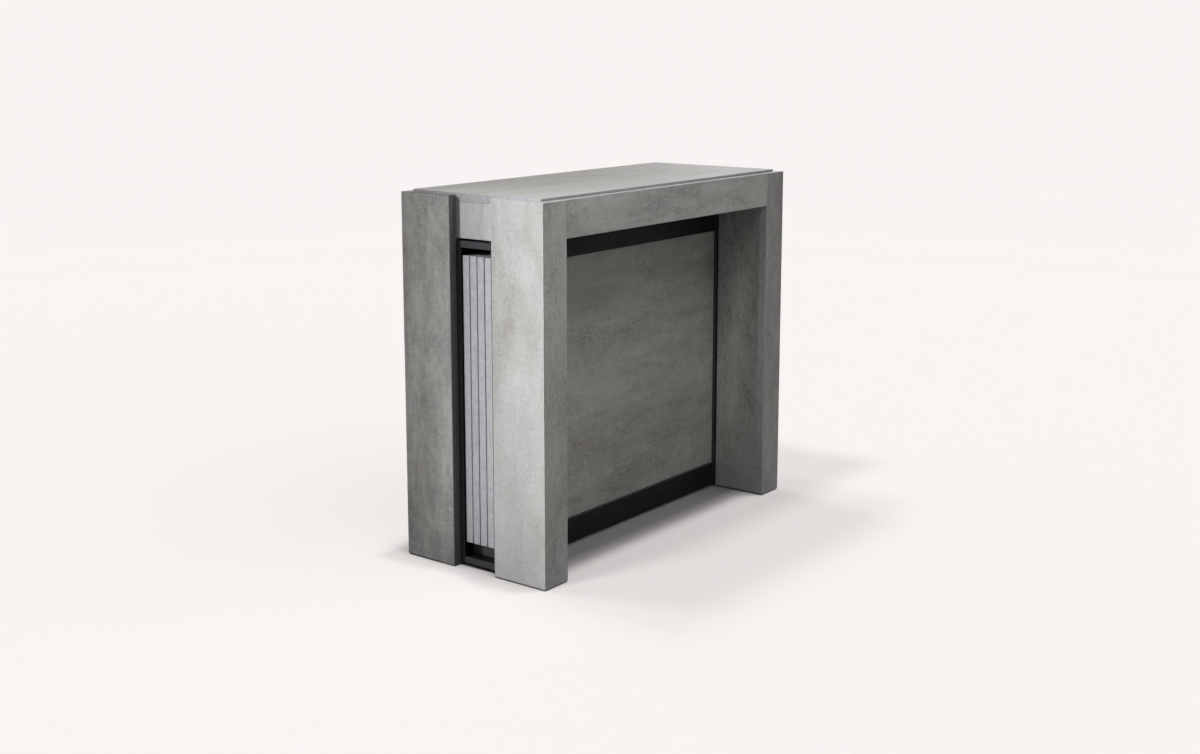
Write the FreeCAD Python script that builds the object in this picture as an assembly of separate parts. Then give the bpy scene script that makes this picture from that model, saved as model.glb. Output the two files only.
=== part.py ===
import FreeCAD, Part
import os

Vector = FreeCAD.Vector

# Extending console: front portal pulls out along -Y, rear portal with the leaf store stays.
# Millimetres, +Z up, +X to the right, front at -Y, origin on the floor under the middle of the closed table.

# Leaves standing on edge in the store
LEAF_COUNT = 4
LEAF_LENGTH = 600.0
LEAF_THICKNESS = 18.0
LEAF_GAP = 1.6
LEAF_HEADROOM = 16.0
LEAF_SETBACK = 4.0

# Table outline
TABLE_WIDTH = 890.0
LEG_WIDTH = 72.0
LEG_DEPTH = 133.0
APRON_HEIGHT = 76.0
SIDE_APRON_HEIGHT = 73.5
SIDE_APRON_BOARD = 16.0
SLAB_THICKNESS = 18.0
SLAB_PROUD = 5.0

# Board thicknesses
OUTER_BOARD = 16.0
FACE_BOARD = 18.0
INNER_BOARD = 16.0
CLOSING_BOARD = 16.0
STORE_BOARD = 14.0
STORE_FRAME = 15.0
END_PANEL = 10.0
EDGE_EASE = 0.8

# Front frame of the store and the panel in its rebate
STILE_WIDTH = 62.0
TOP_RAIL_HEIGHT = 51.5
BOTTOM_RAIL_HEIGHT = 55.0
PANEL_THICKNESS = 8.0
PANEL_RECESS = 6.5
PANEL_LAP = 10.0
PANEL_CLEARANCE = 0.3

# Leaf racks
RACK_HEIGHT = 30.5
RACK_WIDTH = 40.0
RACK_INSET = 24.0
RACK_RIB = 1.0
RACK_RIB_HEIGHT = 10.0

# Glides and feet
GLIDE_HEIGHT = 3.0
GLIDE_DIAMETER = 14.0
STORE_FOOT_HEIGHT = 7.0
STORE_FOOT_INSET = 40.0
FOOT_EASE = 1.0

# Telescopic guide
STAGE_COUNT = 8
RAIL_HEIGHT = 50.0
RAIL_STEP = 0.8
RAIL_THICKNESS = 8.6
RAIL_GAP = 0.4
GROOVE_LIP = 2.4
TONGUE_HEAD = 2.6
TONGUE_HEAD_HEIGHT = 10.0
TONGUE_NECK_HEIGHT = 5.0
TONGUE_DROP = 11.5
TONGUE_PITCH = 20.0
STOP_WALL = 1.2
TIE_WIDTH = 20.0
TIE_THICKNESS = 6.0
TIE_PITCH = 32.0

# Fittings
PLATE_THICKNESS = 2.0
PLATE_MARGIN = 6.0
ANGLE_WIDTH = 25.0
ANGLE_HEIGHT = 30.0
ANGLE_THICKNESS = 3.0
CLEAT_SIZE = 20.0
CLEAT_END_GAP = 10.0
PIN_DIAMETER = 8.0
PIN_STAND = 8.0
PIN_SEAT = 16.0
PIN_SPREAD = 280.0
PIN_COVER = 4.0

# Clearances
SLAB_CLEARANCE = 0.5
SLAB_RUN_CLEARANCE = 0.4
STORE_CLEARANCE = 1.0
SIDE_APRON_CLEARANCE = 1.0
SIDE_APRON_GAP = 5.0
RAIL_END_CLEARANCE = 2.0
SLIDE_CLEARANCE = 0.3
STOP_CLEARANCE = 0.3
SEAT_CLEARANCE = 0.05
SOCKET_CLEARANCE = 0.3
SOCKET_END_CLEARANCE = 2.0

# Depth, from front to back
LEAF_SPACE = LEAF_COUNT * (LEAF_THICKNESS + LEAF_GAP) + LEAF_GAP
LEG_ROW_GAP = STORE_CLEARANCE + STORE_FRAME + LEAF_SPACE + STORE_BOARD
BACK_Y = LEG_DEPTH + LEG_ROW_GAP / 2
FRONT_Y = -BACK_Y
FRONT_ROW_Y = FRONT_Y + LEG_DEPTH
REAR_ROW_Y = BACK_Y - LEG_DEPTH
STORE_FRONT_Y = FRONT_ROW_Y + STORE_CLEARANCE
LEAF_SPACE_FRONT_Y = STORE_FRONT_Y + STORE_FRAME
LEAF_SPACE_BACK_Y = LEAF_SPACE_FRONT_Y + LEAF_SPACE

# Heights, from the floor up
STORE_BOTTOM = STORE_FOOT_HEIGHT
RACK_BOTTOM = STORE_BOTTOM + STORE_BOARD
LEAF_BOTTOM = RACK_BOTTOM + RACK_HEIGHT
LEAF_TOP = LEAF_BOTTOM + LEAF_LENGTH
STORE_TOP = LEAF_TOP + LEAF_HEADROOM + STORE_BOARD
SIDE_APRON_BOTTOM = STORE_TOP + SIDE_APRON_GAP
SLAB_BOTTOM = SIDE_APRON_BOTTOM + SIDE_APRON_HEIGHT
SLAB_TOP = SLAB_BOTTOM + SLAB_THICKNESS
LEG_TOP = SLAB_TOP - SLAB_PROUD
APRON_BOTTOM = LEG_TOP - APRON_HEIGHT
REAR_LINER_TOP = SLAB_BOTTOM - SLAB_RUN_CLEARANCE

# Widths, from the middle outwards
HALF_WIDTH = TABLE_WIDTH / 2
LEG_INNER_X = HALF_WIDTH - LEG_WIDTH
SLAB_HALF = HALF_WIDTH - OUTER_BOARD - SLAB_CLEARANCE
SLAB_FRONT_Y = FRONT_Y + FACE_BOARD + SLAB_CLEARANCE
STORE_LEFT_X = -SLAB_HALF
STORE_RIGHT_X = SLAB_HALF + LEAF_SETBACK
STILE_INNER_X = SLAB_HALF - STILE_WIDTH
LEAF_LEFT_X = STORE_LEFT_X + LEAF_SETBACK
LEAF_MIDDLE_X = LEAF_LEFT_X + SLAB_HALF

# Guide sizes that follow from the fits
SLIDE_COUNT = STAGE_COUNT + 1
STAGE_TRAVEL = LEAF_COUNT * LEAF_LENGTH / SLIDE_COUNT
RAIL_BACK_Y = BACK_Y - FACE_BOARD - RAIL_END_CLEARANCE
RAIL_LENGTH = 2 * RAIL_BACK_Y
RAIL_TOP = SLAB_BOTTOM - SLAB_RUN_CLEARANCE
RAIL_OUTER_X = LEG_INNER_X - PLATE_THICKNESS
RAIL_PITCH = RAIL_THICKNESS + RAIL_GAP
LAST_RAIL_INNER_X = RAIL_OUTER_X - SLIDE_COUNT * RAIL_PITCH - RAIL_THICKNESS
GROOVE_DEPTH = GROOVE_LIP + TONGUE_HEAD + 2 * SLIDE_CLEARANCE
NECK_LENGTH = RAIL_GAP + GROOVE_LIP + SLIDE_CLEARANCE
STOP_HEIGHT = TONGUE_PITCH - TONGUE_HEAD_HEIGHT - 2 * SLIDE_CLEARANCE - 2 * STOP_WALL
STOP_LENGTH = (RAIL_LENGTH - STAGE_TRAVEL - STOP_CLEARANCE) / 2
CLEAT_HALF = LAST_RAIL_INNER_X - ANGLE_WIDTH - CLEAT_END_GAP


def block(x, y, z):
    size = [high - low for low, high in (x, y, z)]
    return Part.makeBox(*size, Vector(x[0], y[0], z[0]))


def board(x, y, z):
    solid = block(x, y, z)
    return solid.makeChamfer(EDGE_EASE, solid.Edges)


def prism(points, run):
    wire = Part.makePolygon(points + points[:1])
    return Part.Face(wire).extrude(run)


def mirror_x(shape):
    return shape.mirror(Vector(0, 0, 0), Vector(1, 0, 0))


def mirror_y(shape):
    return shape.mirror(Vector(0, 0, 0), Vector(0, 1, 0))


# Chamfers the upper edges whose middle passes the test
def ease_top(solid, top, on_rim):
    rim = [edge for edge in solid.Edges if edge.BoundBox.ZMin > top - EDGE_EASE and on_rim(edge.CenterOfMass)]
    return solid.makeChamfer(EDGE_EASE, rim)


def foot(x, y, height):
    disc = Part.makeCylinder(GLIDE_DIAMETER / 2, height, Vector(x, y, 0))
    rim = [edge for edge in disc.Edges if edge.BoundBox.ZMax < height / 2]
    return disc.makeChamfer(FOOT_EASE, rim)


# Front-left leg as a closed box: the outer and face boards meet in an eased mitre
def leg_boards(liner_top):
    x0 = -HALF_WIDTH
    x1 = x0 + LEG_WIDTH
    outer_x = x0 + OUTER_BOARD
    face_y = FRONT_Y + FACE_BOARD
    ease_share = EDGE_EASE / (OUTER_BOARD + FACE_BOARD)
    mitre_out = (x0 + ease_share * OUTER_BOARD, FRONT_Y + ease_share * FACE_BOARD)
    mitre_in = (outer_x, face_y)
    outer = [
        mitre_out,
        (x0, FRONT_Y + EDGE_EASE),
        (x0, FRONT_ROW_Y - EDGE_EASE),
        (x0 + EDGE_EASE, FRONT_ROW_Y),
        (outer_x, FRONT_ROW_Y),
        mitre_in,
    ]
    face = [
        mitre_out,
        (x0 + EDGE_EASE, FRONT_Y),
        (x1 - EDGE_EASE, FRONT_Y),
        (x1, FRONT_Y + EDGE_EASE),
        (x1, face_y),
        mitre_in,
    ]
    rise = Vector(0, 0, LEG_TOP - GLIDE_HEIGHT)
    inner_x = x1 - INNER_BOARD
    closing_y = FRONT_ROW_Y - CLOSING_BOARD
    height = (GLIDE_HEIGHT, liner_top)
    outer_board = prism([Vector(x, y, GLIDE_HEIGHT) for x, y in outer], rise)
    face_board = prism([Vector(x, y, GLIDE_HEIGHT) for x, y in face], rise)
    rim = EDGE_EASE / 4
    return {
        "outer_board": ease_top(outer_board, LEG_TOP, lambda middle: middle.x < x0 + rim),
        "face_board": ease_top(face_board, LEG_TOP, lambda middle: middle.y < FRONT_Y + rim),
        "inner_board": board((inner_x, x1), (face_y, FRONT_ROW_Y), height),
        "closing_board": board((outer_x, inner_x), (closing_y, FRONT_ROW_Y), height),
    }


def leg_glides():
    x = -HALF_WIDTH + LEG_WIDTH / 2
    rows = (FRONT_Y + FACE_BOARD / 2, FRONT_ROW_Y - CLOSING_BOARD / 2)
    left = [foot(x, y, GLIDE_HEIGHT) for y in rows]
    return Part.makeCompound(left + [mirror_x(glide) for glide in left])


def legs():
    nodes = {}
    for name, solid in leg_boards(SLAB_BOTTOM).items():
        nodes["front_left_leg_" + name] = solid
        nodes["front_right_leg_" + name] = mirror_x(solid)
    for name, solid in leg_boards(REAR_LINER_TOP).items():
        nodes["rear_left_leg_" + name] = mirror_y(solid)
        nodes["rear_right_leg_" + name] = mirror_x(mirror_y(solid))
    nodes["front_glides"] = leg_glides()
    nodes["rear_glides"] = mirror_y(leg_glides())
    return nodes


# Two holes or pins along one edge: start is the middle between their mouths, run their direction
def pin_row(start, run, radius):
    mouths = [start + Vector(side * PIN_SPREAD, 0, 0) for side in (-1, 1)]
    return Part.makeCompound([Part.makeCylinder(radius, run.Length, mouth, run) for mouth in mouths])


def socket_row(edge, inward):
    depth = PIN_STAND + SOCKET_END_CLEARANCE
    return pin_row(edge, inward * depth, PIN_DIAMETER / 2 + SOCKET_CLEARANCE)


def seat_row(edge, inward, depth):
    return pin_row(edge, inward * depth, PIN_DIAMETER / 2 + SEAT_CLEARANCE)


def pins(edge, inward, depth):
    tip = edge - inward * PIN_STAND
    return pin_row(tip, inward * (PIN_STAND + depth), PIN_DIAMETER / 2)


def top_and_aprons():
    pin_height = SLAB_BOTTOM + SLAB_THICKNESS / 2
    slab = board((-SLAB_HALF, SLAB_HALF), (SLAB_FRONT_Y, -SLAB_FRONT_Y), (SLAB_BOTTOM, SLAB_TOP))
    slab = slab.cut(socket_row(Vector(0, -SLAB_FRONT_Y, pin_height), Vector(0, -1, 0)))

    apron_span = (-LEG_INNER_X, LEG_INNER_X)
    front = board(apron_span, (FRONT_Y, FRONT_Y + FACE_BOARD), (APRON_BOTTOM, LEG_TOP))
    pin_edge = Vector(0, BACK_Y - FACE_BOARD, pin_height)
    pin_seat = FACE_BOARD - PIN_COVER
    rear = mirror_y(front).cut(seat_row(pin_edge, Vector(0, 1, 0), pin_seat))

    side_x = (-SLAB_HALF, -SLAB_HALF + SIDE_APRON_BOARD)
    side_y = (FRONT_ROW_Y, REAR_ROW_Y - SIDE_APRON_CLEARANCE)
    side = board(side_x, side_y, (SIDE_APRON_BOTTOM, SLAB_BOTTOM))

    cleat_span = (-CLEAT_HALF, CLEAT_HALF)
    cleat_y = (FRONT_Y + FACE_BOARD, FRONT_Y + FACE_BOARD + CLEAT_SIZE)
    front_cleat = block(cleat_span, cleat_y, (SLAB_BOTTOM - CLEAT_SIZE, SLAB_BOTTOM))
    rear_cleat = mirror_y(block(cleat_span, cleat_y, (REAR_LINER_TOP - CLEAT_SIZE, REAR_LINER_TOP)))
    return {
        "top_slab": slab,
        "front_apron": front,
        "rear_apron": rear,
        "rear_apron_pins": pins(pin_edge, Vector(0, 1, 0), pin_seat),
        "left_side_apron": side,
        "right_side_apron": mirror_x(side),
        "front_cleat": front_cleat,
        "rear_cleat": rear_cleat,
    }


# Frame members lose one common pocket, which makes the rebate that the panel lies in
def store_front():
    y = (STORE_FRONT_Y, LEAF_SPACE_FRONT_Y)
    shoulder_y = STORE_FRONT_Y + PANEL_RECESS
    sight_bottom = STORE_BOTTOM + BOTTOM_RAIL_HEIGHT
    sight_top = STORE_TOP - TOP_RAIL_HEIGHT
    pocket_x = STILE_INNER_X + PANEL_LAP
    pocket_z = (sight_bottom - PANEL_LAP, sight_top + PANEL_LAP)
    pocket = block((-pocket_x, pocket_x), (shoulder_y, LEAF_SPACE_FRONT_Y), pocket_z)
    rail_x = (-STILE_INNER_X, STILE_INNER_X)
    height = (STORE_BOTTOM, STORE_TOP)
    panel_x = pocket_x - PANEL_CLEARANCE
    panel_y = (shoulder_y, shoulder_y + PANEL_THICKNESS)
    panel_z = (pocket_z[0] + PANEL_CLEARANCE, pocket_z[1] - PANEL_CLEARANCE)
    return {
        "store_front_left_stile": board((STORE_LEFT_X, -STILE_INNER_X), y, height).cut(pocket),
        "store_front_right_stile": board((STILE_INNER_X, STORE_RIGHT_X), y, height).cut(pocket),
        "store_front_bottom_rail": board(rail_x, y, (STORE_BOTTOM, sight_bottom)).cut(pocket),
        "store_front_top_rail": board(rail_x, y, (sight_top, STORE_TOP)).cut(pocket),
        "store_front_panel": block((-panel_x, panel_x), panel_y, panel_z),
    }


def store_box():
    x = (STORE_LEFT_X, STORE_RIGHT_X)
    inside_y = (LEAF_SPACE_FRONT_Y, LEAF_SPACE_BACK_Y)
    end_x = (STORE_RIGHT_X, STORE_RIGHT_X + END_PANEL)
    foot_y = STORE_FRONT_Y + STORE_FRAME / 2
    foot_places = (STORE_LEFT_X + STORE_FOOT_INSET, STORE_RIGHT_X - STORE_FOOT_INSET)
    feet = [foot(foot_x, foot_y, STORE_FOOT_HEIGHT) for foot_x in foot_places]
    return {
        "store_rear_wall": board(x, (LEAF_SPACE_BACK_Y, REAR_ROW_Y), (STORE_BOTTOM, STORE_TOP)),
        "store_bottom_board": board(x, inside_y, (STORE_BOTTOM, RACK_BOTTOM)),
        "store_top_board": board(x, inside_y, (STORE_TOP - STORE_BOARD, STORE_TOP)),
        "store_end_panel": board(end_x, (STORE_FRONT_Y, REAR_ROW_Y), (STORE_BOTTOM, STORE_TOP)),
        "store_feet": Part.makeCompound(feet),
    }


def leaf_front_y(index):
    return LEAF_SPACE_FRONT_Y + LEAF_GAP + index * (LEAF_THICKNESS + LEAF_GAP)


# Ribbed cross bearer: a thin rib stands in each gap between two leaves
def leaf_rack(x):
    span = (x - RACK_WIDTH / 2, x + RACK_WIDTH / 2)
    rack = block(span, (LEAF_SPACE_FRONT_Y, LEAF_SPACE_BACK_Y), (RACK_BOTTOM, LEAF_BOTTOM))
    for index in range(1, LEAF_COUNT):
        middle = leaf_front_y(index) - LEAF_GAP / 2
        rib_y = (middle - RACK_RIB / 2, middle + RACK_RIB / 2)
        rack = rack.fuse(block(span, rib_y, (RACK_BOTTOM, LEAF_BOTTOM + RACK_RIB_HEIGHT)))
    return rack.removeSplitter()


def leaves():
    reach = SLAB_HALF - RACK_INSET - RACK_WIDTH / 2
    places = (LEAF_MIDDLE_X - reach, LEAF_MIDDLE_X, LEAF_MIDDLE_X + reach)
    nodes = {"leaf_racks": Part.makeCompound([leaf_rack(x) for x in places])}
    for index in range(LEAF_COUNT):
        y0 = leaf_front_y(index)
        leaf_x = (LEAF_LEFT_X, LEAF_LEFT_X + 2 * SLAB_HALF)
        leaf = board(leaf_x, (y0, y0 + LEAF_THICKNESS), (LEAF_BOTTOM, LEAF_TOP))
        pin_edge = Vector(LEAF_MIDDLE_X, y0 + LEAF_THICKNESS / 2, LEAF_TOP)
        socket_edge = Vector(LEAF_MIDDLE_X, y0 + LEAF_THICKNESS / 2, LEAF_BOTTOM)
        down = Vector(0, 0, -1)
        leaf = leaf.cut(seat_row(pin_edge, down, PIN_SEAT)).cut(socket_row(socket_edge, -down))
        nodes["leaf_%d" % (index + 1)] = leaf
        nodes["leaf_%d_pins" % (index + 1)] = pins(pin_edge, down, PIN_SEAT)
    return nodes


# Tee outline at height z, going outwards from the plane x by neck and head, listed upwards
def tee(x, z, neck, head, neck_height, head_height):
    low = [
        (x, -neck_height),
        (x + neck, -neck_height),
        (x + neck, -head_height),
        (x + neck + head, -head_height),
    ]
    high = [(across, -half) for across, half in reversed(low)]
    return [Vector(across, -RAIL_BACK_Y, z + half / 2) for across, half in low + high]


def tongue(x, z):
    return tee(x, z, -NECK_LENGTH, -TONGUE_HEAD, TONGUE_NECK_HEIGHT, TONGUE_HEAD_HEIGHT)


def groove(x, z):
    play = 2 * SLIDE_CLEARANCE
    neck_height = TONGUE_NECK_HEIGHT + play
    head_height = TONGUE_HEAD_HEIGHT + play
    return tee(x, z, -GROOVE_LIP, GROOVE_LIP - GROOVE_DEPTH, neck_height, head_height)


# Left rail of a section: tongues and a stop lug run in the section outside it
# grooves and a stopped channel take the section inside it
def rail(section):
    x0 = -RAIL_OUTER_X + section * RAIL_PITCH
    x1 = x0 + RAIL_THICKNESS
    bottom = RAIL_TOP - RAIL_HEIGHT + section * RAIL_STEP
    tees = (RAIL_TOP - TONGUE_DROP - TONGUE_PITCH, RAIL_TOP - TONGUE_DROP)
    stop_middle = sum(tees) / 2
    inside_last = section == SLIDE_COUNT
    outer_side = [Vector(x0, -RAIL_BACK_Y, bottom), Vector(x0, -RAIL_BACK_Y, RAIL_TOP)]
    inner_side = [Vector(x1, -RAIL_BACK_Y, bottom), Vector(x1, -RAIL_BACK_Y, RAIL_TOP)]
    if section > 0:
        outer_side[1:1] = [point for z in tees for point in tongue(x0, z)]
    if not inside_last:
        inner_side[1:1] = [point for z in tees for point in groove(x1, z)]
    solid = prism(outer_side + inner_side[::-1], Vector(0, RAIL_LENGTH, 0))
    if not inside_last:
        channel_x = (x1 - GROOVE_LIP - SLIDE_CLEARANCE, x1)
        channel_y = (-RAIL_BACK_Y + STOP_LENGTH, RAIL_BACK_Y)
        half = STOP_HEIGHT / 2
        solid = solid.cut(block(channel_x, channel_y, (stop_middle - half, stop_middle + half)))
    if section > 0:
        lug_x = (x0 - RAIL_GAP - GROOVE_LIP, x0)
        lug_y = (RAIL_BACK_Y - STOP_LENGTH, RAIL_BACK_Y)
        half = STOP_HEIGHT / 2 - SLIDE_CLEARANCE
        solid = solid.fuse(block(lug_x, lug_y, (stop_middle - half, stop_middle + half)))
    return solid.removeSplitter()


# Flat bar under a stage's two rails: later stages carry theirs further forward, so that no two ties meet
def tie(section):
    half = RAIL_OUTER_X - section * RAIL_PITCH
    top = RAIL_TOP - RAIL_HEIGHT + section * RAIL_STEP
    middle = (SLIDE_COUNT / 2 - section) * TIE_PITCH
    y = (middle - TIE_WIDTH / 2, middle + TIE_WIDTH / 2)
    return block((-half, half), y, (top - TIE_THICKNESS, top))


def guides():
    fixed = rail(0)
    last = rail(SLIDE_COUNT)
    nodes = {
        "fixed_left_rail": fixed,
        "fixed_right_rail": mirror_x(fixed),
        "last_left_rail": last,
        "last_right_rail": mirror_x(last),
    }
    for section in range(1, SLIDE_COUNT):
        left = rail(section)
        nodes["guide_stage_%d" % section] = Part.makeCompound([left, mirror_x(left), tie(section)])
    return nodes


def guide_fittings():
    plate_y = (REAR_ROW_Y + PLATE_MARGIN, RAIL_BACK_Y - PLATE_MARGIN)
    plate_z = (RAIL_TOP - RAIL_HEIGHT + PLATE_MARGIN, RAIL_TOP - PLATE_MARGIN)
    plate = block((-LEG_INNER_X, -RAIL_OUTER_X), plate_y, plate_z)
    x0 = -LAST_RAIL_INNER_X
    angle = [
        (x0, SLAB_BOTTOM - ANGLE_HEIGHT),
        (x0 + ANGLE_THICKNESS, SLAB_BOTTOM - ANGLE_HEIGHT),
        (x0 + ANGLE_THICKNESS, SLAB_BOTTOM - ANGLE_THICKNESS),
        (x0 + ANGLE_WIDTH, SLAB_BOTTOM - ANGLE_THICKNESS),
        (x0 + ANGLE_WIDTH, SLAB_BOTTOM),
        (x0, SLAB_BOTTOM),
    ]
    angle = prism([Vector(x, -RAIL_BACK_Y, z) for x, z in angle], Vector(0, RAIL_LENGTH, 0))
    return {
        "guide_plates": Part.makeCompound([plate, mirror_x(plate)]),
        "slab_left_angle": angle,
        "slab_right_angle": mirror_x(angle),
    }


os.makedirs("parts", exist_ok=True)
for group in (legs, top_and_aprons, store_front, store_box, leaves, guides, guide_fittings):
    for node, shape in group().items():
        shape.exportStep("parts/%s.step" % node)
print("stage travel %.2f, extension %.1f" % (STAGE_TRAVEL, STAGE_TRAVEL * SLIDE_COUNT))
print("stop length %.2f, height %.1f, leg height %.1f" % (STOP_LENGTH, SLAB_TOP, LEG_TOP - GLIDE_HEIGHT))
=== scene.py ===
import math

import bpy
import numpy as np
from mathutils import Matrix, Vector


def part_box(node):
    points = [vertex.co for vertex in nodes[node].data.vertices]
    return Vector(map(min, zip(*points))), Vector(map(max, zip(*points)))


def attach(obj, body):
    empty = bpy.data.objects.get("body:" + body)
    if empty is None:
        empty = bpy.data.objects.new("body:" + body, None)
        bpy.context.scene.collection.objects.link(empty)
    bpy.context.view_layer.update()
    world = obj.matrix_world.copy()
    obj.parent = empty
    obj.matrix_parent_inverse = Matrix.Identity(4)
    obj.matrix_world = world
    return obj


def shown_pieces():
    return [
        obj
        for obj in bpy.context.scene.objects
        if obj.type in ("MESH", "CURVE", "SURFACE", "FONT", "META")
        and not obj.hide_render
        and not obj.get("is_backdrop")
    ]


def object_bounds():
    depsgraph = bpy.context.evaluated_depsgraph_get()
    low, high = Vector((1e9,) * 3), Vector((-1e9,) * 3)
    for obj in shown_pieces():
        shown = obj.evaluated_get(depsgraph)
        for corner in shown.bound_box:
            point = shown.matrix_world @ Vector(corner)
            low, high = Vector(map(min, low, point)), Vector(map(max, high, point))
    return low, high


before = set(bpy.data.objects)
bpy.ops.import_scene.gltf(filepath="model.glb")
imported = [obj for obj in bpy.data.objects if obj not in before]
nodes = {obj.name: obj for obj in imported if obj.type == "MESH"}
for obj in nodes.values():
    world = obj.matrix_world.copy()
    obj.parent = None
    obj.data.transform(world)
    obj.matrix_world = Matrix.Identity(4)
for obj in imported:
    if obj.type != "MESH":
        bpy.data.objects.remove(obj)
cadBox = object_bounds()
scene = bpy.context.scene
scene.view_settings.view_transform = "Standard"
print("frame loaded,", len(nodes), "nodes")

vectorSocket, colorSocket, valueSocket = "NodeSocketVector", "NodeSocketColor", "NodeSocketFloat"


# small helpers for shader trees
def addNode(tree, kind, inputs=None, **settings):
    node = tree.nodes.new(kind)
    for key, value in settings.items():
        setattr(node, key, value)
    for key, value in (inputs or {}).items():
        if isinstance(value, bpy.types.NodeSocket):
            tree.links.new(value, node.inputs[key])
        else:
            node.inputs[key].default_value = value
    return node


def calc(tree, operation, first, second=0.0):
    return addNode(tree, "ShaderNodeMath", {0: first, 1: second}, operation=operation).outputs[0]


def weighted(tree, start, *parts):  # start plus value * weight of each part
    total = start
    for value, weight in parts:
        inputs = {0: value, 1: weight, 2: total}
        total = addNode(tree, "ShaderNodeMath", inputs, operation="MULTIPLY_ADD").outputs[0]
    return total


def vectorCalc(tree, operation, first, second=(0.0, 0.0, 0.0)):
    return addNode(tree, "ShaderNodeVectorMath", {0: first, 1: second}, operation=operation).outputs


def noise(tree, vector, scale, detail, roughness=0.5, distortion=0.0):
    inputs = {
        "Vector": vector,
        "Scale": scale,
        "Detail": detail,
        "Roughness": roughness,
        "Distortion": distortion,
    }
    return addNode(tree, "ShaderNodeTexNoise", inputs).outputs["Fac"]


def drawnNoise(tree, vector, axisScale, *pattern):  # a small axis scale draws the pattern out along that axis
    return noise(tree, vectorCalc(tree, "MULTIPLY", vector, axisScale)["Vector"], *pattern)


def spread(tree, value, low, high, outLow=0.0, outHigh=1.0):
    inputs = {"Value": value, "From Min": low, "From Max": high, "To Min": outLow, "To Max": outHigh}
    return addNode(tree, "ShaderNodeMapRange", inputs).outputs["Result"]


def mixColor(tree, factor, first, second, blend="MIX"):
    inputs = {0: factor, 6: first, 7: second}  # the Mix node's colours are inputs 6 and 7 and output 2
    return addNode(tree, "ShaderNodeMix", inputs, data_type="RGBA", blend_type=blend).outputs[2]


def shaded(tree, color, value):
    grey = addNode(tree, "ShaderNodeCombineColor", {0: value, 1: value, 2: value}).outputs[0]
    return mixColor(tree, 1.0, color, grey, "MULTIPLY")


def toned(color, tone):
    return [*np.multiply(color[:3], tone), 1.0]


def objectCoordinates(tree, turn=(0.0, 0.0, 0.0), shift=(0.0, 0.0, 0.0)):
    coordinates = addNode(tree, "ShaderNodeTexCoord").outputs["Object"]
    inputs = {"Vector": coordinates, "Rotation": turn, "Location": shift}
    return addNode(tree, "ShaderNodeMapping", inputs).outputs[0]


def newGroup(name, inputs, outputs):
    tree = bpy.data.node_groups.new(name, "ShaderNodeTree")
    for side, sockets in (("INPUT", inputs), ("OUTPUT", outputs)):
        for socket, kind in sockets.items():
            tree.interface.new_socket(socket, in_out=side, socket_type=kind)
    return tree, tree.nodes.new("NodeGroupInput").outputs, tree.nodes.new("NodeGroupOutput").inputs


def useGroup(tree, group, inputs):
    return addNode(tree, "ShaderNodeGroup", inputs, node_tree=group).outputs


def newMaterial(name, socket, value):
    material = bpy.data.materials.new(name)
    material.use_nodes = True
    material.node_tree.nodes["Principled BSDF"].inputs[socket].default_value = value
    return material, material.node_tree


def linkSurface(tree, given, color, rough, height):
    inputs = {"Height": height, "Strength": given["bump"], "Distance": given["bumpDepth"]}
    normal = addNode(tree, "ShaderNodeBump", inputs).outputs[0]
    shader = tree.nodes["Principled BSDF"].inputs
    for key, socket in {"Base Color": color, "Roughness": rough, "Normal": normal}.items():
        tree.links.new(socket, shader[key])


# concrete decor: clouds, fine streaks along the third axis and across it, specks gathered in patches and a
# little brown
concreteSettings = {
    "layers": {  # scale of each axis, then the noise's scale, detail, roughness and distortion
        "wide": ((1.0, 1.0, 0.28), 7.0, 3.0, 0.5, 0.4),
        "middle": ((1.0, 1.0, 0.4), 21.0, 5.0, 0.62, 0.5),
        "mottle": ((1.0, 1.0, 0.6), 80.0, 4.0, 0.62, 0.3),
        "grain": ((1.0, 1.0, 0.6), 230.0, 4.0, 0.7),
        "along": ((1.0, 1.0, 0.05), 100.0, 3.0, 0.6),
        "across": ((0.1, 0.1, 1.0), 150.0, 3.0, 0.6),
        "patches": ((1.0, 1.0, 0.6), 9.0, 4.0, 0.6, 0.9),
        "grit": ((1.0, 1.0, 0.45), 270.0, 4.0, 0.66),
        "stains": ((1.0, 1.0, 0.28), 14.0, 5.0, 0.65, 0.8),
    },
    "clouds": {"wide": 0.8, "middle": 0.7, "mottle": 0.42},  # how far each layer swings the brightness
    "streaks": {"along": 0.14, "across": 0.18, "grain": 0.46},
    "patchRange": (0.47, 0.62),
    "gritRange": (0.48, 0.68),
    "stainRange": (0.48, 0.74),
    "stainMost": 0.5,
    "speckStain": 0.25,
    "speckDepth": 0.34,
    "roughness": 0.46,
    "roughCloud": 0.16,
    "roughGrit": 0.06,
    "mottleRelief": 0.5,
}


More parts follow.
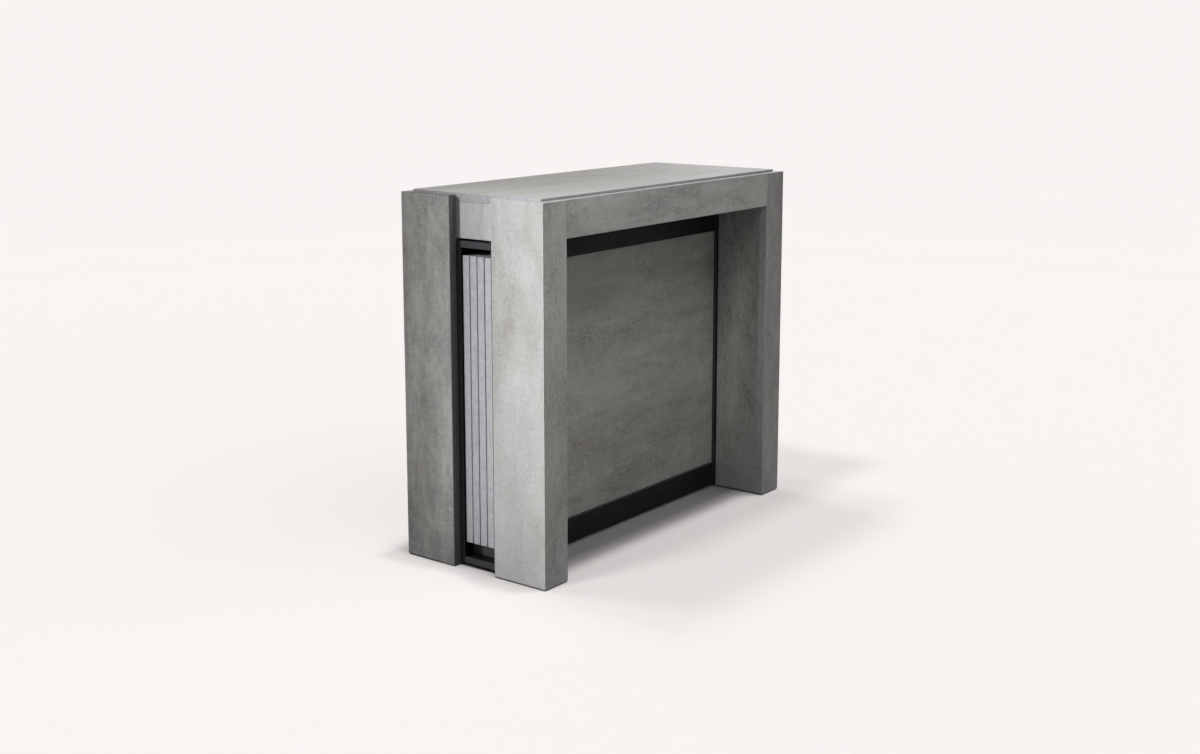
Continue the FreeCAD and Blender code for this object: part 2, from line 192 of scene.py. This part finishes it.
def concreteGroup():
    settings = concreteSettings
    tree, given, out = newGroup(
        "concreteDecor",
        {
            "Vector": vectorSocket,
            "Base": colorSocket,
            "Stain": colorSocket,
            "Cloud": valueSocket,
            "Streak": valueSocket,
            "Speck": valueSocket,
        },
        {"Color": colorSocket, "Roughness": valueSocket, "Height": valueSocket},
    )
    layer = {}
    for name, pattern in settings["layers"].items():
        layer[name] = drawnNoise(tree, given["Vector"], *pattern)

    def swing(shares):  # a layer lies about one half, so half of each share comes off
        parts = [(layer[name], share) for name, share in shares.items()]
        return weighted(tree, -sum(shares.values()) / 2, *parts)

    patches = spread(tree, layer["patches"], *settings["patchRange"])
    grit = spread(tree, layer["grit"], *settings["gritRange"])
    specks = calc(tree, "MULTIPLY", calc(tree, "MULTIPLY", patches, grit), given["Speck"])
    brightness = weighted(
        tree,
        1.0,
        (swing(settings["clouds"]), given["Cloud"]),
        (swing(settings["streaks"]), given["Streak"]),
        (specks, -settings["speckDepth"]),
    )
    stained = spread(tree, layer["stains"], *settings["stainRange"], 0.0, settings["stainMost"])
    stained = weighted(tree, stained, (specks, settings["speckStain"]))
    color = shaded(tree, mixColor(tree, stained, given["Base"], given["Stain"]), brightness)
    roughShares = [(layer["middle"], settings["roughCloud"]), (grit, settings["roughGrit"])]
    rough = weighted(tree, settings["roughness"], *roughShares)
    relief = weighted(tree, layer["grain"], (layer["mottle"], settings["mottleRelief"]), (specks, -1.0))
    tree.links.new(color, out["Color"])
    tree.links.new(rough, out["Roughness"])
    tree.links.new(relief, out["Height"])
    return tree


# plastic edge band: its mask is true where the face doesn't look along the board's thickness, and its colour
# is clouded and finely drawn
bandSettings = {
    "flatLimit": 0.93,  # cosine from which a face counts as the board's own
    "drawn": ((1.0, 1.0, 0.12), 240.0, 3.0, 0.6),
    "cloudy": (70.0, 4.0, 0.7),
    "darkest": 0.5,
    "drawnShare": 0.3,
    "cloudyShare": 0.7,
}


def bandGroup():
    settings = bandSettings
    tree, given, out = newGroup(
        "edgeBand",
        {
            "Vector": vectorSocket,
            "Normal": vectorSocket,
            "Thickness axis": vectorSocket,
            "Color": colorSocket,
        },
        {"Mask": valueSocket, "Color": colorSocket},
    )
    along = vectorCalc(tree, "DOT_PRODUCT", given["Normal"], given["Thickness axis"])["Value"]
    mask = calc(tree, "LESS_THAN", calc(tree, "ABSOLUTE", along), settings["flatLimit"])
    drawn = drawnNoise(tree, given["Vector"], *settings["drawn"])
    cloudy = noise(tree, given["Vector"], *settings["cloudy"])
    shares = [(drawn, settings["drawnShare"]), (cloudy, settings["cloudyShare"])]
    brightness = weighted(tree, settings["darkest"], *shares)
    tree.links.new(mask, out["Mask"])
    tree.links.new(shaded(tree, given["Color"], brightness), out["Color"])
    return tree


concreteDecor = concreteGroup()
edgeBand = bandGroup()
axes = {"x": (1.0, 0.0, 0.0), "y": (0.0, 1.0, 0.0), "z": (0.0, 0.0, 1.0)}


# the given colour on a board's faces, the edge band on its narrow sides
def banded(tree, vector, color, thickness, bandColor):
    normal = addNode(tree, "ShaderNodeTexCoord").outputs["Normal"]
    inputs = {"Vector": vector, "Normal": normal, "Thickness axis": axes[thickness], "Color": bandColor}
    band = useGroup(tree, edgeBand, inputs)
    return mixColor(tree, band["Mask"], color, band["Color"])


# concrete-look laminate: what all boards share, then the cut of each kind of board; some tones below are
# painted shade
upright = (0.0, 0.0, 0.0)
alongWidth = (0.0, math.pi / 2, 0.0)  # turns the grain from upright to the table's width
laminateSettings = {
    "base": (0.425, 0.422, 0.41, 1.0),
    "stain": (0.27, 0.25, 0.212, 1.0),
    "band": (0.375, 0.375, 0.4, 1.0),
    "turn": upright,
    "tone": 1.0,
    "cloud": 1.0,
    "streak": 1.0,
    "speck": 1.0,
    "bandTone": 1.0,
    "mitred": False,
    "cutAndHighlightColor": (0.78, 0.775, 0.77, 1.0),  # the light corner line, partly the cut laminate and partly a painted highlight, shows only on mitred boards
    "cutAndHighlightWidth": 0.0022,
    "lineShare": 0.75,
    "specular": 0.28,
    "bump": 0.25,
    "bumpDepth": 0.0003,
}
boardCutsAndPaintedShade = {
    "laminateLegSide": {
        "thickness": "x",
        "shift": (1.3, 3.8, 4.1),
        "tone": (0.98, 0.98, 0.994),
        "cloud": 0.6,
        "speck": 0.45,
        "bandTone": (1.0, 1.0, 0.95),
        "mitred": True,
    },
    "laminateRearLegSide": {
        "thickness": "x",
        "shift": (1.3, 6.4, 5.8),
        "tone": 0.765,
        "cloud": 1.6,
        "streak": 1.3,
        "speck": 1.5,
        # its edge bands are darkened as painted shade of the narrow slot in front of the rear leg
        "bandTone": (0.37, 0.36, 0.34),
        "mitred": True,
    },
    "laminateLegFace": {"thickness": "y", "shift": (6.5, 6.3, 12.3), "bandTone": (1.15, 1.15, 1.1)},
    # the right front leg's face is toned darker as painted shade, for light that falls off towards the right
    "laminateRightLegFacePaintedShade": {"thickness": "y", "shift": (6.2, 1.0, 4.4), "tone": 0.765, "bandTone": 1.25},
    "laminateRearLegFace": {"thickness": "y", "shift": (5.1, 3.0, 0.2), "tone": 0.9, "cloud": 1.3},
    "laminateLegInside": {"thickness": "x", "shift": (4.6, 8.5, 5.6), "cloud": 1.3},
    "laminateApron": {
        "thickness": "y",
        "turn": alongWidth,
        "shift": (8.7, 4.3, 6.7),
        "cloud": 1.1,
        "streak": 1.2,
        "bandTone": (1.0, 1.0, 0.95),
    },
    "laminateSideApron": {
        "thickness": "x",
        "shift": (1.1, 8.2, 5.0),
        "tone": (0.975, 0.99, 1.035),
        "cloud": 0.6,
        "streak": 0.8,
    },
    # the store's front panel is toned darker as painted shade of its recess under the apron and between the
    # legs
    "laminatePanelPaintedShade": {
        "thickness": "y",
        "turn": alongWidth,
        "shift": (10.5, 19.5, 24.8),
        "tone": (0.778, 0.768, 0.752),
        "cloud": 0.95,
        "streak": 1.3,
    },
    # the top is toned darker as painted shade, for the lesser light that falls on it than on the lit leg
    # sides
    "laminateTopPaintedShade": {
        "thickness": "z",
        "turn": alongWidth,
        "shift": (1.9, 2.4, 6.1),
        "tone": 0.87,
        "cloud": 0.3,
        "streak": 0.8,
        "speck": 0.6,
        "bandTone": 0.93,
    },
    "laminateLeaf": {
        "thickness": "y",
        "turn": alongWidth,
        "shift": (2.9, 0.8, 7.7),
        "cloud": 0.8,
        "bandTone": 1.15,
    },
}


def makeLaminate(name, cut):
    given = {**laminateSettings, **cut}
    material, tree = newMaterial(name, "Specular IOR Level", given["specular"])
    vector = objectCoordinates(tree, given["turn"], given["shift"])
    inputs = {
        "Vector": vector,
        "Base": toned(given["base"], given["tone"]),
        "Stain": toned(given["stain"], given["tone"]),
        "Cloud": given["cloud"],
        "Streak": given["streak"],
        "Speck": given["speck"],
    }
    decor = useGroup(tree, concreteDecor, inputs)
    color = banded(tree, vector, decor["Color"], given["thickness"], toned(given["band"], given["bandTone"]))
    if given["mitred"]:  # a light line along the front and rear mitred corners: partly the cut laminate, partly a painted highlight
        corner = cadBox[1][1]
        place = addNode(tree, "ShaderNodeSeparateXYZ", {0: objectCoordinates(tree)}).outputs["Y"]
        depth = calc(tree, "ABSOLUTE", place)
        line = spread(tree, depth, corner - given["cutAndHighlightWidth"], corner, 0.0, given["lineShare"])
        color = mixColor(tree, line, color, given["cutAndHighlightColor"])
    linkSurface(tree, given, color, decor["Roughness"], decor["Height"])
    return material


# black laminate: fine pores and faint clouds, with an edge band lighter than the faces
blackSettings = {
    "base": (0.012, 0.012, 0.013, 1.0),
    "pore": (0.006, 0.006, 0.007, 1.0),
    "band": (0.053, 0.053, 0.059, 1.0),
    "pores": ((1.0, 1.0, 0.15), 420.0, 3.0, 0.6),
    "poreRange": (0.42, 0.66),
    "clouds": (16.0, 4.0, 0.6),
    "roughness": 0.4,
    "roughCloud": 0.2,
    "roughPore": 0.12,
    "specular": 0.07,
    "bump": 0.2,
    "bumpDepth": 0.0002,
}


def makeBlackBoard(name, thickness):
    given = blackSettings
    material, tree = newMaterial(name, "Specular IOR Level", given["specular"])
    vector = objectCoordinates(tree)
    pores = spread(tree, drawnNoise(tree, vector, *given["pores"]), *given["poreRange"])
    clouds = noise(tree, vector, *given["clouds"])
    color = mixColor(tree, pores, given["base"], given["pore"])
    color = banded(tree, vector, color, thickness, given["band"])
    rough = weighted(tree, given["roughness"], (clouds, given["roughCloud"]), (pores, given["roughPore"]))
    linkSurface(tree, given, color, rough, pores)
    return material


# metal: fine lines, or an even grain where the three scales are alike, and a haze change the colour and the
# roughness a little
metalSettings = {
    "linePattern": (1.0, 4.0, 0.65),
    "haze": (26.0, 4.0, 0.6),
    "lineShare": 0.6,
    "hazeShare": 0.4,
    "shadeRange": (0.3, 0.7),
    "darkTone": 0.78,
    "bump": 0.2,
}
aluminiumSettings = {
    "color": (0.4, 0.405, 0.415, 1.0),
    "lineScale": (900.0, 9.0, 900.0),
    "roughness": 0.24,
    "roughSpread": 0.12,
    "bumpDepth": 0.00008,
}
zincSettings = {
    "color": (0.66, 0.66, 0.67, 1.0),
    "lineScale": (160.0, 160.0, 160.0),
    "roughness": 0.2,
    "roughSpread": 0.16,
    "bumpDepth": 0.00006,
}


def makeMetal(name, finish):
    given = {**metalSettings, **finish}
    material, tree = newMaterial(name, "Metallic", 1.0)
    vector = objectCoordinates(tree)
    lines = drawnNoise(tree, vector, given["lineScale"], *given["linePattern"])
    haze = noise(tree, vector, *given["haze"])
    shade = weighted(tree, 0.0, (lines, given["lineShare"]), (haze, given["hazeShare"]))
    shade = spread(tree, shade, *given["shadeRange"])
    color = mixColor(tree, shade, toned(given["color"], given["darkTone"]), given["color"])
    rough = weighted(tree, given["roughness"], (lines, given["roughSpread"]), (haze, given["roughSpread"]))
    linkSurface(tree, given, color, rough, lines)
    return material


# moulded black plastic: a fine grain and a paler haze
plasticSettings = {
    "color": (0.034, 0.034, 0.037, 1.0),
    "hazeTone": 1.7,
    "haze": (40.0, 3.0, 0.6),
    "hazeRange": (0.35, 0.7),
    "grain": (900.0, 3.0, 0.6),
    "grainRange": (0.3, 0.7),
    "roughRange": (0.45, 0.62),
    "specular": 0.35,
    "bump": 0.25,
    "bumpDepth": 0.0002,
}


def makePlastic(name):
    given = plasticSettings
    material, tree = newMaterial(name, "Specular IOR Level", given["specular"])
    vector = objectCoordinates(tree)
    grain = noise(tree, vector, *given["grain"])
    haze = spread(tree, noise(tree, vector, *given["haze"]), *given["hazeRange"])
    color = mixColor(tree, haze, given["color"], toned(given["color"], given["hazeTone"]))
    rough = spread(tree, grain, *given["grainRange"], *given["roughRange"])
    linkSurface(tree, given, color, rough, grain)
    return material


# plain beech: yearly bands across the stick and short dark flecks along it
beechSettings = {
    "light": (0.62, 0.43, 0.26, 1.0),
    "dark": (0.44, 0.28, 0.15, 1.0),
    "fleck": (0.25, 0.14, 0.07, 1.0),
    "bands": ((0.04, 1.0, 1.0), 120.0, 3.0, 0.55, 0.3),
    "flecks": ((0.12, 1.0, 1.0), 700.0, 2.0),
    "fleckRange": (0.58, 0.68),
    "fleckShare": 0.5,
    "bandRange": (0.3, 0.7),
    "roughRange": (0.5, 0.65),
    "specular": 0.35,
    "bump": 0.2,
    "bumpDepth": 0.0002,
}


def makeBeech(name):
    given = beechSettings
    material, tree = newMaterial(name, "Specular IOR Level", given["specular"])
    vector = objectCoordinates(tree)
    bands = drawnNoise(tree, vector, *given["bands"])
    flecks = spread(tree, drawnNoise(tree, vector, *given["flecks"]), *given["fleckRange"])
    color = mixColor(tree, bands, given["light"], given["dark"])
    color = mixColor(tree, calc(tree, "MULTIPLY", flecks, given["fleckShare"]), color, given["fleck"])
    rough = spread(tree, bands, *given["bandRange"], *given["roughRange"])
    linkSurface(tree, given, color, rough, flecks)
    return material


laminates = {name: makeLaminate(name, cut) for name, cut in boardCutsAndPaintedShade.items()}
blackBoards = {axis: makeBlackBoard("blackBoard_" + axis, axis) for axis in axes}
aluminium = makeMetal("drawnAluminium", aluminiumSettings)
zincSteel = makeMetal("zincSteel", zincSettings)
blackPlastic = makePlastic("mouldedPlastic")
beech = makeBeech("plainBeech")
print("materials made,", len(bpy.data.materials))


def materialOf(name):
    if name.endswith("glides") or name in ("store_feet", "leaf_racks"):
        return blackPlastic
    if name == "store_front_panel":
        return laminates["laminatePanelPaintedShade"]
    if name.startswith("store_"):
        low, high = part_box(name)
        return blackBoards["xyz"[np.argmin(high - low)]]
    if name.endswith("pins") or name == "guide_plates":
        return zincSteel
    if name.endswith("cleat"):
        return beech
    if "rail" in name or name.startswith("guide_stage") or name.endswith("angle"):
        return aluminium
    if name == "top_slab":
        return laminates["laminateTopPaintedShade"]
    if name.startswith("leaf_"):
        return laminates["laminateLeaf"]
    if name.endswith("side_apron"):
        return laminates["laminateSideApron"]
    if name.endswith("apron"):
        return laminates["laminateApron"]
    if name.endswith("inner_board"):
        return laminates["laminateLegInside"]
    if name == "front_right_leg_face_board":
        return laminates["laminateRightLegFacePaintedShade"]
    row = "Rear" if name.startswith("rear") else ""
    side = "Side" if name.endswith("outer_board") else "Face"
    return laminates["laminate" + row + "Leg" + side]


for name, node in nodes.items():
    node.data.materials.clear()
    node.data.materials.append(materialOf(name))
print("frame dressed")

# screw heads and cover caps: at share r of the radius the height is rise * sqrt(1 - crown * r * r), and the
# last ring goes down to the board; every quarter turn the inner rings sink by the recess, which leaves a
# crossed slot
headSettings = {
    "screw": {"radius": 0.003, "rise": 0.0017, "recess": 0.0009},
    "cap": {"radius": 0.0062, "rise": 0.0009, "recess": 0.0},
    "rings": (0.14, 0.34, 0.56, 0.62, 0.85, 1.0, 1.0),
    "around": 16,
    "crown": 0.85,
    "slotReach": 0.6,  # share of the radius
    "slotWidth": 0.1,  # as a sine
    "turn": 2.4,  # from one head to the next, in radians
}


def addHeads(name, kind, body, rows):
    given = headSettings[kind]
    ring = np.array(headSettings["rings"])[:, None]
    count = headSettings["around"]
    angle = np.arange(count)[None, :] * (2 * math.pi / count)
    slotted = (ring < headSettings["slotReach"]) & (np.abs(np.sin(2 * angle)) < headSettings["slotWidth"])
    height = given["rise"] * np.sqrt(1 - headSettings["crown"] * ring**2) - given["recess"] * slotted
    height[-1] = 0.0
    # one local frame for each head, turned on from the head before
    centres = np.concatenate([places for places, outward in rows])
    ways = np.concatenate([np.tile(outward, (len(places), 1)) for places, outward in rows])
    first = np.roll(ways, 1, axis=1)
    second = np.cross(ways, first)
    turned = angle[None] + (np.arange(len(centres)) * headSettings["turn"])[:, None, None]
    flat = given["radius"] * ring[None]
    points = centres[:, None, None] + ways[:, None, None] * height[None, :, :, None]
    points = points + first[:, None, None] * (flat * np.cos(turned))[..., None]
    points = points + second[:, None, None] * (flat * np.sin(turned))[..., None]
    # four-sided faces between neighbouring rings and one face over the innermost ring
    index = np.arange(ring.size * count).reshape(ring.size, count)
    after = np.roll(index, -1, axis=1)
    sides = np.stack([index[:-1], index[1:], after[1:], after[:-1]], axis=-1).reshape(-1, 4)
    starts = np.arange(len(centres)) * index.size
    faces = (starts[:, None, None] + sides[None]).reshape(-1, 4).tolist()
    faces += (starts[:, None] + index[0][None]).tolist()
    mesh = bpy.data.meshes.new(name)
    mesh.from_pydata(points.reshape(-1, 3).tolist(), [], faces)
    mesh.materials.append(zincSteel if kind == "screw" else blackPlastic)
    piece = bpy.data.objects.new(name, mesh)
    scene.collection.objects.link(piece)
    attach(piece, body)


down, forward, back = np.array([(0, 0, -1), (0, -1, 0), (0, 1, 0)], float)
rightward, leftward = np.array([(1, 0, 0), (-1, 0, 0)], float)


def grid(xs, ys, zs):
    return np.stack(np.meshgrid(xs, ys, zs), axis=-1).reshape(-1, 3)


def evenly(half, count):
    return np.linspace(-half, half, count)


# the fasteners' rows and pairs give half their length and their count
tieScrewSettings = {
    "pitch": 0.032,  # from the tie of one stage to the next
    "railInset": 0.01,  # from a stage's side to the middle of its rail
    "pair": (0.005, 2),
}


def addTieScrews():
    given = tieScrewSettings
    count = sum(name.startswith("guide_stage") for name in nodes)
    for stage in range(1, count + 1):
        low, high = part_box("guide_stage_%d" % stage)
        across = high[0] - given["railInset"]
        along = ((count + 1) / 2 - stage) * given["pitch"]
        screws = grid([-across, across], along + evenly(*given["pair"]), [low[2]])
        addHeads("tie_screws_%d" % stage, "screw", "stage_%d_slider" % stage, [(screws, down)])


slabScrewSettings = {
    "sheet": 0.003,
    "flangeRow": (0.14, 5),
    "flangeInset": 0.0105,
    "webRow": (0.12, 4),
    "webRise": 0.012,
}


def addSlabScrews():
    given = slabScrewSettings
    low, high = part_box("slab_left_angle")
    across = high[0] - given["flangeInset"]
    flange = grid([across, -across], evenly(*given["flangeRow"]), [high[2] - given["sheet"]])
    face = low[0] + given["sheet"]
    web = evenly(*given["webRow"]), [low[2] + given["webRise"]]
    rows = [(flange, down), (grid([face], *web), rightward), (grid([-face], *web), leftward)]
    addHeads("slab_screws", "screw", "front_portal", rows)


cleatScrewSettings = {"row": (0.21, 4)}


def addCleatScrews():
    given = cleatScrewSettings
    for row, end, facing in (("front", 1, back), ("rear", 0, forward)):
        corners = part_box(row + "_cleat")
        middle = (corners[0][2] + corners[1][2]) / 2
        screws = grid(evenly(*given["row"]), [corners[end][1]], [middle])
        addHeads(row + "_cleat_screws", "screw", row + "_portal", [(screws, facing)])


storeCapSettings = {
    "wallRow": (0.33, 5),
    "wallRise": 0.007,
    "endInset": 0.02,
    "endRise": 0.03,
    "endCount": 3,
}


def addStoreCaps():
    given = storeCapSettings
    low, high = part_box("store_rear_wall")
    heights = [low[2] + given["wallRise"], high[2] - given["wallRise"]]
    caps = grid(evenly(*given["wallRow"]), [high[1]], heights)
    addHeads("rear_wall_caps", "cap", "rear_portal", [(caps, back)])
    low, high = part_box("store_end_panel")
    depths = [low[1] + given["endInset"], high[1] - given["endInset"]]
    heights = np.linspace(low[2] + given["endRise"], high[2] - given["endRise"], given["endCount"])
    addHeads("end_panel_caps", "cap", "rear_portal", [(grid([high[0]], depths, heights), rightward)])


addTieScrews()
addSlabScrews()
addCleatScrews()
addStoreCaps()
print("fasteners added")

# floor: a diffuse sheet near the table, the plain backdrop colour further out
backdropColor = (0.939, 0.905, 0.896, 1.0)
floorSettings = {
    "half": 60.0,
    "near": 4.5,  # shadows show inside this radius
    "far": 9.0,
    "seenColor": (0.327, 0.3153, 0.3125, 1.0),  # brings the lit floor to the backdrop colour
    "bounceColor": (0.04, 0.0385, 0.038, 1.0),
}


def seenRay(tree):  # what the camera sees, straight or mirrored, but not the light that bounces
    rays = addNode(tree, "ShaderNodeLightPath").outputs
    seen = calc(tree, "MAXIMUM", rays["Is Camera Ray"], rays["Is Glossy Ray"])
    return calc(tree, "MAXIMUM", seen, rays["Is Transmission Ray"])


def makeFloor():
    given = floorSettings
    half = given["half"]
    corners = [(-half, -half, 0), (half, -half, 0), (half, half, 0), (-half, half, 0)]
    mesh = bpy.data.meshes.new("floor")
    mesh.from_pydata(corners, [], [(0, 1, 2, 3)])
    floor = bpy.data.objects.new("floor", mesh)
    scene.collection.objects.link(floor)
    material = bpy.data.materials.new("paleFloor")
    material.use_nodes = True
    tree = material.node_tree
    tree.nodes.clear()
    radius = vectorCalc(tree, "LENGTH", addNode(tree, "ShaderNodeTexCoord").outputs["Object"])["Value"]
    farShare = spread(tree, radius, given["near"], given["far"])
    lit = addNode(tree, "ShaderNodeBsdfDiffuse", {"Color": given["seenColor"]}).outputs[0]
    plain = addNode(tree, "ShaderNodeEmission", {"Color": backdropColor}).outputs[0]
    seen = addNode(tree, "ShaderNodeMixShader", {0: farShare, 1: lit, 2: plain}).outputs[0]
    bounce = addNode(tree, "ShaderNodeBsdfDiffuse", {"Color": given["bounceColor"]}).outputs[0]
    mixed = addNode(tree, "ShaderNodeMixShader", {0: seenRay(tree), 1: bounce, 2: seen}).outputs[0]
    addNode(tree, "ShaderNodeOutputMaterial", {"Surface": mixed})
    mesh.materials.append(material)
    floor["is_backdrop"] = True
    return floor


floor = makeFloor()

# room light: an even base and soft banks, each strongest in its direction; the camera sees the backdrop
roomSettings = {
    "color": (1.0, 0.985, 0.95, 1.0),
    "base": 0.15,
    "banks": [  # towards, level
        ((0.0, -1.0, 0.0), 0.1),
        ((-1.0, 0.0, 0.0), 0.05),
        ((0.0, 1.0, 0.0), 0.3),
        ((1.0, 0.0, 0.0), 0.12),
    ],
    "falloff": 2.0,  # power of the cosine from a bank's direction
}


def makeRoom():
    given = roomSettings
    world = bpy.data.worlds.new("studio")
    world.use_nodes = True
    scene.world = world
    tree = world.node_tree
    tree.nodes.clear()
    direction = addNode(tree, "ShaderNodeTexCoord").outputs["Generated"]
    level = given["base"]
    for towards, strength in given["banks"]:
        facing = calc(tree, "MAXIMUM", vectorCalc(tree, "DOT_PRODUCT", direction, towards)["Value"])
        level = weighted(tree, level, (calc(tree, "POWER", facing, given["falloff"]), strength))
    room = addNode(tree, "ShaderNodeBackground", {"Color": given["color"], "Strength": level}).outputs[0]
    plain = addNode(tree, "ShaderNodeBackground", {"Color": backdropColor}).outputs[0]
    mixed = addNode(tree, "ShaderNodeMixShader", {0: seenRay(tree), 1: room, 2: plain}).outputs[0]
    addNode(tree, "ShaderNodeOutputWorld", {"Surface": mixed})


makeRoom()

# suns for the table alone, the same at every pose: towards the lamp, strength, angle in degrees
tableSuns = {
    "leftSun": ((-0.451, 0.397, 0.8), 0.25, 12.0),
    "frontSun": ((0.0, -0.92, 0.39), 0.29, 60.0),
    "rightSun": ((0.97, 0.2, 0.14), 1.0, 50.0),
    "backSun": ((0.15, 0.97, 0.18), 0.5, 50.0),
}
# suns for the floor alone: two overhead for the dark line under the legs and the narrow shade beside them,
# three that cast the soft shadows and a low one that lights the floor under the store
floorSuns = {
    "overhead": ((-0.02, -0.07, 0.997), 2.94, 7.0),
    "overEdge": ((0.064, -0.06, 0.996), 1.6, 3.0),
    "castRight": ((-0.427, 0.104, 0.898), 1.67, 8.0),
    "castMiddle": ((-0.118, 0.378, 0.918), 0.87, 8.0),
    "castFront": ((0.058, 0.419, 0.906), 0.88, 10.0),
    "lowFill": ((0.1, -0.85, 0.52), 1.4, 80.0),
}
# soft boxes that light the boards alone: place, aim, width and height, power, spread in degrees
boxSettings = {
    "gridBox": ((-2.05, 1.38, 1.5), (-0.44, -0.3, 0.65), (0.28, 1.4), 3.85, 20.0),  # front leg's bright side
    "frontBox": ((-0.2, -1.3, 2.3), (-0.3, -0.19, 0.75), (0.5, 0.5), 1.52, 60.0),
    "innerBox": ((-0.8, -1.0, 2.2), (0.38, -0.12, 0.28), (0.12, 0.12), 0.026, 10.0),  # right leg's inside
    "topBox": ((1.6, 0.6, 1.3), (0.4, 0.0, 0.778), (0.5, 0.5), 0.11, 40.0),
}


def addLamp(name, data, place, aim, reach):
    lamp = bpy.data.objects.new(name, data)
    scene.collection.objects.link(lamp)
    lamp.location = place
    away = np.subtract(place, aim)
    tilt = math.acos(away[2] / np.linalg.norm(away))
    lamp.rotation_euler = (tilt, 0.0, math.atan2(away[1], away[0]) + math.pi / 2)
    lamp.light_linking.receiver_collection = reach


floorReach = bpy.data.collections.new("floorReach")
floorReach.objects.link(floor)
tableReach = bpy.data.collections.new("tableReach")
boardReach = bpy.data.collections.new("boardReach")  # the boxes leave out the metal, which would mirror them
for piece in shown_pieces():
    tableReach.objects.link(piece)
    if piece.active_material not in (aluminium, zincSteel):
        boardReach.objects.link(piece)
for reach, suns in ((floorReach, floorSuns), (tableReach, tableSuns)):
    for name, (toLight, strength, angle) in suns.items():
        sunData = bpy.data.lights.new(name, "SUN")
        sunData.energy = strength
        sunData.angle = math.radians(angle)
        addLamp(name, sunData, toLight, (0.0, 0.0, 0.0), reach)
for name, (place, aim, size, power, fan) in boxSettings.items():
    boxData = bpy.data.lights.new(name, "AREA")
    boxData.shape = "RECTANGLE"
    boxData.size, boxData.size_y = size
    boxData.energy = power
    boxData.spread = math.radians(fan)
    addLamp(name, boxData, place, aim, boardReach)
print("floor, room and lamps set")

cameraSettings = {
    "place": (-2.70349, -2.04529, 1.08387),
    "heading": 52.6868,  # degrees from the +Y axis towards +X
    "down": 9.4038,  # degrees below level
    "sensor": 36.0,
    "lens": 46.3315,
    "shift": -0.07,
    "farClip": 300.0,
}


def addCamera():
    given = cameraSettings
    data = bpy.data.cameras.new("camera")
    data.sensor_width = given["sensor"]
    data.lens = given["lens"]
    data.shift_y = given["shift"]
    data.clip_end = given["farClip"]
    camera = bpy.data.objects.new("camera", data)
    scene.collection.objects.link(camera)
    camera.location = given["place"]
    camera.rotation_euler = (math.radians(90.0 - given["down"]), 0.0, -math.radians(given["heading"]))
    scene.camera = camera


addCamera()
print("camera set")
